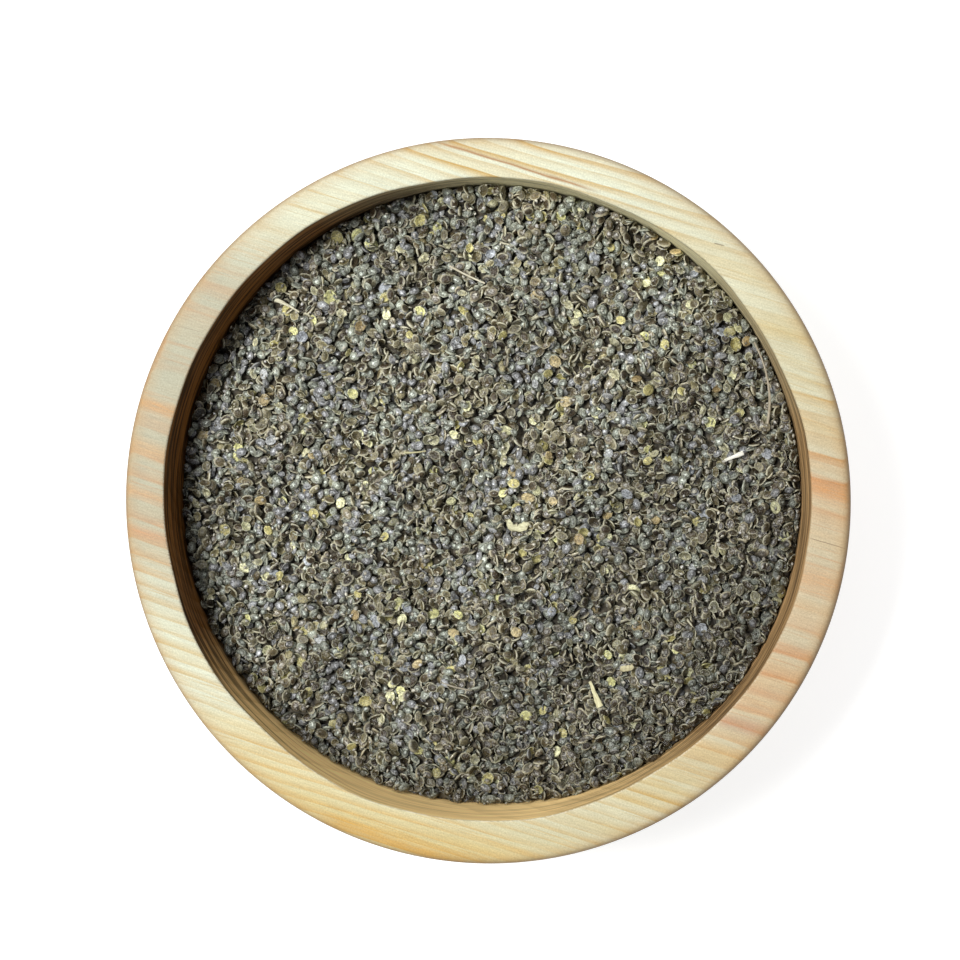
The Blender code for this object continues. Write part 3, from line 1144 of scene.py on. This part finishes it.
@dataclass
class Pile:
    """The seeds as they fall, one by one, onto what already lies there."""

    dish: TurnedDish
    level: HeapLevel
    start: float = 1.1 * MM
    cell: float = 0.2 * MM
    reach: int = 8
    wall_gap: float = 0.12 * MM

    def __post_init__(self) -> None:
        self.wall = self.dish.wall_radius(self.dish.height - self.level.depth) - self.wall_gap
        self.half = int(self.wall / self.cell) + self.reach + 2
        axis = np.arange(-self.half, self.half + 1) * self.cell
        x, y = np.meshgrid(axis, axis, indexing="ij")
        self.heights = self.level.height(x, y, self.dish) - self.start
        self.around = np.arange(-self.reach, self.reach + 1) * self.cell

    def window(self, x: float, y: float) -> tuple[slice, slice, np.ndarray, np.ndarray]:
        """The cells about a place.

        Args:
            x: The place's distance to the right of the hollow's axis.
            y: Its distance behind it.

        Returns:
            The rows, the columns, and each cell's distance from the place both ways.
        """
        column, row = round(x / self.cell) + self.half, round(y / self.cell) + self.half
        rows = slice(column - self.reach, column + self.reach + 1)
        columns = slice(row - self.reach, row + self.reach + 1)
        right = self.around + (column - self.half) * self.cell - x
        back = self.around + (row - self.half) * self.cell - y
        return rows, columns, right[:, None], back[None, :]

    def slope(self, x: float, y: float) -> tuple[float, float]:
        """How steep the pile is about a place.

        Args:
            x: The place's distance to the right of the hollow's axis.
            y: Its distance behind it.

        Returns:
            The slope to the right and to the back.
        """
        rows, columns, right, back = self.window(x, y)
        seen = self.heights[rows, columns]
        weight = np.exp(-(right**2 + back**2) / (0.9 * MM) ** 2)
        level = (weight * seen).sum() / weight.sum()
        rise = weight * (seen - level)
        return tuple(float((rise * way).sum() / (weight * way**2).sum()) for way in (right, back))

    def drop(self, place: Place, axes: np.ndarray, size: np.ndarray, rest: float) -> np.ndarray:
        """Lets one piece fall, and raises the pile under it.

        Args:
            place: Where it falls, from the hollow's axis.
            axes: Its length, width and thickness ways, as rows.
            size: Its half length, half width and half thickness.
            rest: How high it comes to lie: 1 on the highest bump under it, 0 on the lowest.

        Returns:
            Where its middle comes to lie.
        """
        place = np.array(place)
        away = np.hypot(*place)
        way = place / max(away, 1e-9)
        out = np.linalg.norm(size * (axes[:, :2] @ way))
        if away > self.wall - out:
            place = way * (self.wall - out)
        rows, columns, right, back = self.window(*place)
        normal = axes[2]
        upright = max(abs(normal[2]), 0.22)
        plane = -(normal[0] * right + normal[1] * back) / upright
        along = (axes[0, 0] * right + axes[0, 1] * back + axes[0, 2] * plane) / size[0]
        across = (axes[1, 0] * right + axes[1, 1] * back + axes[1, 2] * plane) / size[1]
        inside = 1 - along**2 - across**2
        under = inside > 0
        if not under.any():
            return np.array((*place, self.heights[rows, columns].mean()))
        thick = size[2] * np.maximum(inside, 0) / upright
        pile = self.heights[rows, columns]
        needed = np.sort((pile - plane + thick)[under])
        height = needed[min(int(rest * len(needed)), len(needed) - 1)]
        pile[under] = np.maximum(pile, height + plane + thick)[under]
        return np.array((*place, height))


@dataclass(frozen=True)
class SetPieces:
    """Pieces of one kind that stand out, laid on top at places of their own, in millimetres."""

    kind: str
    places: tuple[Place, ...]


@dataclass
class SeedHeap:
    """All the loose pieces: seeds, husks and flakes of every kind."""

    dish: TurnedDish
    level: HeapLevel
    pitches: tuple[float, ...] = (2.05 * MM, 1.54 * MM)
    crumb_pitch: float = 1.9 * MM
    steep: float = 0.34
    seed: int = 11

    kinds: tuple[SeedKind, ...] = (
        SeedKind(
            "brown_seeds", Shape.SEED, 0.285,
            (srgb(85, 76, 54), srgb(66, 56, 39), srgb(106, 100, 77), srgb(52, 43, 30)),
            margin=srgb(204, 200, 174), middle=srgb(48, 40, 29), middle_share=0.4, in_dust=-0.5,
        ),
        SeedKind(
            "grey_seeds", Shape.PEBBLE, 0.26,
            (srgb(82, 82, 70), srgb(68, 68, 58), srgb(105, 107, 95), srgb(60, 58, 47)),
            margin=srgb(174, 178, 161), middle=srgb(226, 235, 222), middle_share=0.75, at_front=-0.4,
            in_dust=0.5, length=2.1 * MM,
        ),
        SeedKind(
            "dark_seeds", Shape.PEBBLE, 0.13,
            (srgb(60, 48, 34), srgb(48, 38, 27), srgb(76, 65, 47), srgb(92, 83, 62)),
            margin=srgb(194, 187, 160), middle=srgb(226, 226, 220), middle_share=0.55, at_front=0.9,
            in_dust=-0.9, length=2.15 * MM, roughness=0.15,
        ),
        SeedKind(
            "lilac_seeds", Shape.PEBBLE, 0.12,
            (srgb(88, 88, 87), srgb(105, 106, 107), srgb(73, 71, 71)),
            margin=srgb(152, 153, 149), middle=srgb(216, 219, 222), middle_share=0.75, at_front=-0.6,
            in_dust=0.95, length=2.05 * MM,
        ),
        SeedKind(
            "husks", Shape.HUSK, 0.14,
            (srgb(98, 90, 63), srgb(126, 119, 88), srgb(76, 67, 47), srgb(160, 157, 126)),
            margin=srgb(216, 214, 188), middle=srgb(36, 28, 18), middle_share=0.85, length=2.3 * MM,
        ),
        SeedKind(
            "pale_flakes", Shape.FLAKE, 0.025,
            (srgb(184, 183, 128), srgb(170, 162, 106), srgb(200, 199, 160), srgb(156, 148, 98)),
            margin=srgb(208, 207, 168), middle=srgb(146, 140, 90), middle_share=0.5, length=2.4 * MM,
            fade=0.25,
        ),
        SeedKind(
            "tan_flakes", Shape.FLAKE, 0.004,
            (srgb(162, 146, 106), srgb(148, 130, 92), srgb(168, 154, 116)),
            margin=srgb(188, 174, 138), middle=srgb(138, 118, 80), middle_share=0.5, length=2.4 * MM,
            fade=0.2,
        ),
        SeedKind(
            "white_flakes", Shape.FLAKE, 0.006,
            (srgb(154, 158, 162), srgb(140, 144, 149), srgb(160, 162, 160)),
            margin=srgb(176, 178, 180), middle=srgb(140, 145, 152), middle_share=0.4, length=2.4 * MM,
            fade=0.2,
        ),
        SeedKind(
            "crumbs", Shape.CRUMB, 0.0,
            (
                srgb(150, 146, 130), srgb(110, 104, 86), srgb(176, 172, 156), srgb(84, 76, 60),
                srgb(160, 160, 164),
            ),
            margin=srgb(200, 196, 180), middle=srgb(200, 200, 196), middle_share=0.4,
            length=0.85 * MM, uneven=0.3,
        ),
    )
    set_pieces: tuple[SetPieces, ...] = (
        SetPieces(
            "tan_flakes", ((12.2, 8.4), (13.0, -0.7), (18.1, -8.1), (13.4, 26.9), (-25.2, 33.9)),
        ),
        SetPieces("white_flakes", ((40.4, 44.0), (9.4, 22.4), (40.4, -3.1), (27.5, 0.7))),
        SetPieces(
            "pale_flakes", ((16.9, -24.2), (-5.7, -23.2), (49.1, 33.3), (-12.3, 57.0), (-3.7, 49.2)),
        ),
    )

    def spread(self, pitches: Sequence[float], draw: np.random.Generator) -> np.ndarray:
        """Spreads places evenly over the heap, in layers.

        Args:
            pitches: How far apart they are in each layer.
            draw: The source of random numbers.

        Returns:
            The places, layer by layer, from the hollow's axis.
        """
        radius = self.dish.wall_radius(self.dish.height - self.level.depth)
        layers = []
        for pitch in pitches:
            count = int(1.2 * radius / pitch) + 2
            column, row = np.meshgrid(np.arange(-count, count + 1), np.arange(-count, count + 1))
            x = (column + 0.5 * (row % 2)) * pitch
            y = row * pitch * math.sqrt(3) / 2
            spots = np.stack([x.ravel(), y.ravel()], 1)
            spots += draw.uniform(-0.5, 0.5, spots.shape) * pitch
            spots = spots[np.hypot(*spots.T) < radius]
            layers.append(draw.permutation(spots))
        return np.concatenate(layers)

    @staticmethod
    def axes_for(normal: np.ndarray, turn: float) -> np.ndarray:
        """The length, width and thickness ways of a piece.

        Args:
            normal: Which way it faces.
            turn: How far it is turned about that.

        Returns:
            The three ways, as rows.
        """
        normal = normal / np.linalg.norm(normal)
        side = np.array((math.cos(turn), math.sin(turn), 0.0))
        side -= normal * (side @ normal)
        side /= np.linalg.norm(side)
        return np.stack([side, np.cross(normal, side), normal])

    def build(self) -> Pile:
        """Drops every piece and joins each kind into one mesh.

        Returns:
            The pile as it came to lie.
        """
        draw = np.random.default_rng(self.seed)
        pile = Pile(self.dish, self.level)
        forms = Presses.make()
        shares = np.array([kind.share for kind in self.kinds])
        at_front = np.array([kind.at_front for kind in self.kinds])
        in_dust = np.array([kind.in_dust for kind in self.kinds])
        settled: dict[str, list] = {kind.name: [] for kind in self.kinds}
        for place in self.spread(self.pitches, draw):
            here = shares * (1 + at_front * self.front(*place)) * (1 + in_dust * self.dust(*place))
            kind = self.kinds[draw.choice(len(self.kinds), p=here / here.sum())]
            settled[kind.name].append(self.lay(pile, kind, forms[kind.shape], place, draw))
        crumbs = self.kinds[-1]
        for place in self.spread((self.crumb_pitch,), draw):
            settled[crumbs.name].append(self.lay(pile, crumbs, forms[crumbs.shape], place, draw))
        by_name = {kind.name: kind for kind in self.kinds}
        for pieces in self.set_pieces:
            kind = by_name[pieces.kind]
            for right, back in pieces.places:
                place = np.array((right * MM, back * MM))
                settled[kind.name].append(self.lay(pile, kind, forms[kind.shape], place, draw))
        for kind in self.kinds:
            self.join(kind, settled[kind.name])
        return pile

    def lay(
        self, pile: Pile, kind: SeedKind, forms: list[Form], place: np.ndarray, draw: np.random.Generator
    ) -> tuple[Form, np.ndarray, np.ndarray, np.ndarray]:
        """Lays one piece on the pile.

        Args:
            pile: The pile so far.
            kind: The piece's kind.
            forms: The forms that it can have.
            place: Where it falls.
            draw: The source of random numbers.

        Returns:
            Its form, its three ways at their size, its middle, and its colour with its brightness factor,
            painted shade included.
        """
        form = forms[draw.integers(len(forms))]
        length = kind.length * (1 + kind.uneven * float(np.clip(draw.normal(), -2, 2)))
        half = length * np.abs(form.points).max(0)
        right, back = pile.slope(*place)
        steep = draw.random() < self.steep and kind.shape is not Shape.FLAKE
        lean = math.radians(draw.uniform(36, 76) if steep else abs(draw.normal(0, 26)))
        way = draw.uniform(0, 2 * math.pi)
        tilt = math.tan(min(lean, 1.35))
        face = -1.0 if kind.shape in (Shape.SEED, Shape.HUSK) and draw.random() < 0.2 else 1.0
        normal = np.array((-0.7 * right + tilt * math.cos(way), -0.7 * back + tilt * math.sin(way), 1.0))
        axes = self.axes_for(normal, draw.uniform(0, 2 * math.pi))
        middle = pile.drop(tuple(place), axes, half, 0.5 if steep else 0.8)
        axes = axes * np.array((1.0, face, face))[:, None]
        coat = np.array(kind.coats[draw.integers(len(kind.coats))])
        coat *= draw.uniform(1 - kind.fade, 1 + kind.fade)
        if kind.shape is not Shape.FLAKE:
            coat *= 0.94 - 0.5 * max(self.front(*place), 0.0)
        return form, axes * length, middle, np.array((*coat, self.tone_and_painted_shade(*place)))

    def front(self, x: float, y: float) -> float:
        """How far to the right front a place is.

        Args:
            x: The place's distance to the right of the hollow's axis.
            y: Its distance behind it.

        Returns:
            1 at the wall there, and no less than -0.5 on the other side.
        """
        return float(np.clip((FRONT_WAY[0] * x + FRONT_WAY[1] * y) / self.dish.mouth_radius, -0.5, 1.0))

    def dust(self, x: float, y: float) -> float:
        """How dusty the heap is at a place, in soft patches.

        Args:
            x: The place's distance to the right of the hollow's axis.
            y: Its distance behind it.

        Returns:
            Its dustiness, -1 to 1.
        """
        return math.sin((x + 0.4 * y) / (4.6 * MM) + 0.6) * math.sin((y - 0.5 * x) / (5.4 * MM) + 0.9)

    def tone_and_painted_shade(self, x: float, y: float) -> float:
        """How bright the seeds are at a place: darker at the right front, with painted shade towards the
        wall and at its foot, and painted light at the foot of the back wall.

        Args:
            x: The place's distance to the right of the hollow's axis.
            y: Its distance behind it.

        Returns:
            The factor on their colours.
        """
        front, turn = max(self.front(x, y), -0.2), math.atan2(y, x)
        away = math.hypot(x, y) / self.dish.mouth_radius
        bright = 1.15 * (1 - 0.15 * front - 0.05 * max(front, 0.0) ** 2)
        # Painted shade: darker towards the wall, least at the back.
        bright *= 1 - 0.12 * away**2 * (1 - 0.9 * math.sin(turn))
        bright += 0.15 * math.sin(x / (2.9 * MM) + 1.0) * math.sin(y / (2.5 * MM))
        bright += 0.12 * math.sin((x - 0.6 * y) / (6.1 * MM))
        # Painted shade at the wall's foot, deepest at the lower left, and painted light at the back wall's
        # foot.
        wall_shade_reach = float(np.clip((away - 0.905) / 0.085, 0.0, 1.0))
        shade = max(0.27 + 0.34 * math.cos(turn - math.radians(205)), 0.08)
        return bright * (1 - wall_shade_reach * (shade - 0.6 * max(math.sin(turn), 0.0) ** 8))

    def join(self, kind: SeedKind, pieces: list) -> None:
        """Joins the pieces of one kind into one mesh.

        Args:
            kind: The kind.
            pieces: Each piece's form, ways, middle and colour.
        """
        points, faces, coats, parts, maps = [], [], [], [], []
        count, grid = 0, math.ceil(math.sqrt(len(pieces)))
        shift = np.array((*self.dish.hollow_off_centre, 0.0))
        for number, (form, axes, middle, coat) in enumerate(pieces):
            points.append(form.points @ axes + middle + shift)
            faces.append(form.faces + count)
            coats.append(np.tile(coat, (len(form.points), 1)))
            parts.append(form.parts)
            maps.append((form.tiles + divmod(number, grid)) / grid)
            count += len(form.points)
        mesh = bpy.data.meshes.new(kind.name)
        mesh.from_pydata(np.concatenate(points), [], np.concatenate(faces))
        for name, values in (("coat", coats), ("part", parts)):
            layer = mesh.attributes.new(name, "FLOAT_COLOR", "POINT")
            layer.data.foreach_set("color", np.concatenate(values).astype(np.float32).ravel())
        bake_map = mesh.uv_layers.new(name="OFBake")
        bake_map.uv.foreach_set("vector", np.concatenate(maps).astype(np.float32).ravel())
        mesh.shade_smooth()
        mesh.materials.append(kind.finish())
        piece = bpy.data.objects.new(kind.name, mesh)
        bpy.context.scene.collection.objects.link(piece)
        Bench.hand_in(piece, "nettle_seeds", "seeds")


@dataclass(frozen=True)
class Stem:
    """A dry stalk or a sliver: its place from the hollow's axis, its turn, its size and its bend."""

    name: str
    middle: Place
    turn: float
    length: float
    thickness: float
    bend: float = 0.0
    flatness: float = 1.0
    taper: float = 0.6
    lean: float = 0.0
    lift: float = 0.0
    ragged: float = 0.04
    colour: Colour = srgb(190, 178, 146)


@dataclass
class Litter:
    """The few bits that are not seeds: stalks, slivers and crumpled husks."""

    dish: TurnedDish
    pile: Pile
    steps: int = 9

    stems: tuple[Stem, ...] = (
        Stem(
            "long_stalk", (54.9 * MM, 22.8 * MM), math.radians(100), 16.6 * MM, 0.55 * MM,
            bend=math.radians(40), lean=math.radians(9), lift=1.9 * MM, colour=srgb(172, 164, 146),
        ),
        Stem(
            "straight_stalk", (-4.1 * MM, 43.8 * MM), math.radians(-26), 7.8 * MM, 0.42 * MM,
            bend=math.radians(8), lift=0.3 * MM, colour=srgb(212, 206, 184),
        ),
        Stem(
            "wedge_stalk", (-39.6 * MM, 38.0 * MM), math.radians(152), 5.4 * MM, 0.3 * MM,
            bend=math.radians(14), taper=4.6, lift=0.5 * MM, colour=srgb(222, 218, 192),
        ),
        Stem(
            "cream_sliver", (21.3 * MM, -38.9 * MM), math.radians(112), 5.4 * MM, 1.45 * MM,
            flatness=0.32, taper=0.45, lift=1.0 * MM, colour=srgb(208, 204, 164),
        ),
        Stem(
            "white_sliver", (48.4 * MM, 8.2 * MM), math.radians(203), 3.9 * MM, 1.0 * MM,
            flatness=0.4, taper=0.7, lift=0.5 * MM, colour=srgb(232, 232, 222),
        ),
        Stem(
            "grey_stalk", (-20.0 * MM, 4.5 * MM), math.radians(38), 6.0 * MM, 0.4 * MM,
            bend=math.radians(18), colour=srgb(128, 122, 112),
        ),
        Stem(
            "pale_stalk", (-14.5 * MM, 8.8 * MM), math.radians(4), 4.4 * MM, 0.5 * MM,
            bend=math.radians(20), taper=0.5, lift=0.1 * MM, colour=srgb(184, 180, 140),
        ),
        Stem(
            "low_stalk", (-6.2 * MM, -37.9 * MM), math.radians(-14), 6.4 * MM, 0.4 * MM,
            bend=math.radians(16), lift=0.1 * MM, colour=srgb(150, 144, 130),
        ),
        Stem(
            "crumpled_husk", (5.8 * MM, -6.1 * MM), math.radians(-8), 5.2 * MM, 1.35 * MM,
            bend=math.radians(165), flatness=0.6, taper=0.85, lift=0.3 * MM, ragged=0.2,
            colour=srgb(208, 206, 170),
        ),
        Stem(
            "bent_chip", (27.6 * MM, -33.6 * MM), math.radians(10), 2.6 * MM, 1.1 * MM,
            bend=math.radians(40), flatness=0.5, taper=0.7, lift=0.2 * MM, ragged=0.16,
            colour=srgb(190, 184, 148),
        ),
    )

    def build(self) -> None:
        """Models every bit and lays it on the pile."""
        for stem in self.stems:
            self.lay(stem)

    def lay(self, stem: Stem) -> None:
        """Models one bit and lays it on the pile.

        Args:
            stem: The bit.
        """
        piece = self.model(stem)
        along = np.linspace(-0.45, 0.45, 9) * stem.length
        x = stem.middle[0] + along * math.cos(stem.turn)
        y = stem.middle[1] + along * math.sin(stem.turn)
        columns = np.round(x / self.pile.cell).astype(int) + self.pile.half
        rows = np.round(y / self.pile.cell).astype(int) + self.pile.half
        under = float(np.percentile(self.pile.heights[columns, rows], 75))
        shift = self.dish.hollow_off_centre
        piece.location = (
            stem.middle[0] + shift[0],
            stem.middle[1] + shift[1],
            under + stem.thickness * stem.flatness / 2 + stem.lift,
        )
        piece.rotation_euler = (0.0, -stem.lean, stem.turn)
        Bench.clear_selection()
        piece.select_set(True)
        bpy.context.view_layer.objects.active = piece
        bpy.ops.object.transform_apply(location=True, rotation=True, scale=True)
        Bench.hand_in(piece, "nettle_seeds", "seeds")

    def model(self, stem: Stem) -> bpy.types.Object:
        """Models one bit at the origin, along +X.

        Args:
            stem: The bit.

        Returns:
            The object.
        """
        Bench.clear_selection()
        bpy.ops.mesh.primitive_circle_add(
            vertices=7, radius=stem.thickness / 2, fill_type="NGON",
            location=(-stem.length / 2, 0, 0), rotation=(0, math.pi / 2, 0),
        )
        piece = bpy.context.object
        piece.name = stem.name
        bpy.ops.object.transform_apply(location=True, rotation=True, scale=True)
        bpy.ops.object.mode_set(mode="EDIT")
        bpy.ops.mesh.select_all(action="SELECT")
        step = stem.length / self.steps
        draw = np.random.default_rng(len(stem.name))
        for number in range(self.steps):
            bpy.ops.mesh.extrude_region_move(TRANSFORM_OT_translate={"value": (step, 0.0, 0.0)})
            scale = stem.taper ** (1 / self.steps) * draw.uniform(0.9, 1.11)
            at = -stem.length / 2 + step * (number + 1)
            bpy.ops.transform.resize(value=(1.0, scale, scale), center_override=(at, 0.0, 0.0))
        bpy.ops.mesh.select_all(action="SELECT")
        bpy.ops.mesh.normals_make_consistent(inside=False)
        bpy.ops.transform.resize(value=(1.0, 1.0, stem.flatness), center_override=(0.0, 0.0, 0.0))
        bpy.ops.transform.vertex_random(
            offset=stem.ragged * stem.thickness, uniform=0.8, seed=len(stem.name)
        )
        bpy.ops.object.mode_set(mode="OBJECT")
        bend = piece.modifiers.new("bend", "SIMPLE_DEFORM")
        bend.deform_method = "BEND"
        bend.deform_axis = "Z"
        bend.angle = stem.bend
        Bench.apply_modifiers(piece)
        bpy.ops.object.shade_smooth_by_angle(angle=math.radians(50))
        piece.data.materials.append(self.finish(stem))
        return piece

    @staticmethod
    def finish(stem: Stem) -> bpy.types.Material:
        """Makes a bit's finish: dry fibre with fine streaks along it.

        Args:
            stem: The bit.

        Returns:
            The material.
        """
        wires = Wiring(f"{stem.name}_fibre")
        streaks = wires.noise(wires.millimetres(-stem.turn), (0.6, 5.0, 5.0), 3.0, 0.6)
        colour = wires.mix(wires.spread(streaks, 0.35, 0.65, 0.0, 0.5), stem.colour, srgb(120, 106, 78))
        wires.bump(streaks, 0.06 * MM, 0.8)
        return wires.dress(Base_Color=colour, Roughness=0.6, Specular_IOR_Level=0.3)


@dataclass(frozen=True)
class Lamp:
    """A soft lamp: which way it hangs from the dish, how high, how large and how bright."""

    name: str
    way: float
    lift: float
    size: Place
    power: float
    distance: float = 0.9


@dataclass
class Studio:
    """The pale floor, the soft light from the upper left and the camera above."""

    distance: float = 420 * MM
    lean: float = math.radians(5.0)
    lean_way: float = math.radians(30)
    lens: float = 82.1
    aim: Place = (-0.63 * MM, 4.54 * MM)
    rim_height: float = 45 * MM
    lamps: tuple[Lamp, ...] = (
        Lamp("window", math.radians(158), math.radians(66), (0.28, 0.25), 10.3),
        Lamp("far_window", math.radians(82), math.radians(48), (0.7, 0.4), 2.4),
        Lamp("near_window", math.radians(238), math.radians(35), (0.6, 0.3), 0.8),
    )
    sky: Colour = (0.18, 0.185, 0.198)
    floor_glow: float = 1.5

    def build(self) -> None:
        """Sets up the floor, the lights and the camera."""
        self.lay_floor()
        self.light()
        self.place_camera()

    def lay_floor(self) -> None:
        """Lays a plain pale floor."""
        Bench.clear_selection()
        bpy.ops.mesh.primitive_plane_add(size=6.0, location=(0, 0, 0))
        floor = bpy.context.object
        floor.name = "floor"
        wires = Wiring("pale_floor")
        white = (0.5, 0.5, 0.5)
        floor.data.materials.append(wires.dress(
            Base_Color=white, Roughness=0.9, Emission_Color=white, Emission_Strength=self.floor_glow
        ))

    def light(self) -> None:
        """Lights the dish with soft windows and a pale sky."""
        for lamp in self.lamps:
            self.hang(lamp)
        world = bpy.data.worlds.new("sky")
        world.use_nodes = True
        world.node_tree.nodes["Background"].inputs[0].default_value = (*self.sky, 1.0)
        bpy.context.scene.world = world
        bpy.context.scene.view_settings.view_transform = "Standard"

    def hang(self, lamp: Lamp) -> None:
        """Hangs a lamp so that it faces the dish.

        Args:
            lamp: The lamp.
        """
        light = bpy.data.lights.new(lamp.name, "AREA")
        light.shape = "RECTANGLE"
        light.size, light.size_y = lamp.size
        light.energy = lamp.power
        light.color = (1.0, 0.998, 0.98)
        hung = bpy.data.objects.new(lamp.name, light)
        flat, lift = math.cos(lamp.lift), math.sin(lamp.lift)
        way = Vector((flat * math.cos(lamp.way), flat * math.sin(lamp.way), lift))
        hung.location = way * lamp.distance + Vector((0, 0, self.rim_height))
        hung.rotation_mode = "QUATERNION"
        hung.rotation_quaternion = way.to_track_quat("Z", "Y")
        bpy.context.scene.collection.objects.link(hung)

    def place_camera(self) -> None:
        """Looks down on the dish, a little from the upper right."""
        camera = bpy.data.objects.new("camera", bpy.data.cameras.new("camera"))
        camera.data.lens = self.lens
        camera.data.sensor_width = 36.0
        target = Vector((*self.aim, self.rim_height))
        right, back = math.cos(self.lean_way), math.sin(self.lean_way)
        aside = math.sin(self.lean)
        way = Vector((aside * right, aside * back, math.cos(self.lean)))
        camera.location = target + way * self.distance
        behind = way.normalized()
        sideways = Vector((0, 1, 0)).cross(behind).normalized()
        axes = Matrix((sideways, behind.cross(sideways), behind)).transposed()
        camera.rotation_mode = "QUATERNION"
        camera.rotation_quaternion = axes.to_quaternion()
        bpy.context.scene.collection.objects.link(camera)
        bpy.context.scene.camera = camera


def main() -> None:
    """Builds the dish, the heap and the studio."""
    logging.basicConfig(level=logging.INFO, format="%(name)s: %(message)s")
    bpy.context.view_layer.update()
    level = HeapLevel()
    dish = TurnedDish()
    dish.build()
    HeapCore(dish, level).build()
    pile = SeedHeap(dish, level).build()
    Litter(dish, pile).build()
    Studio().build()


if __name__ == "__main__":
    main()
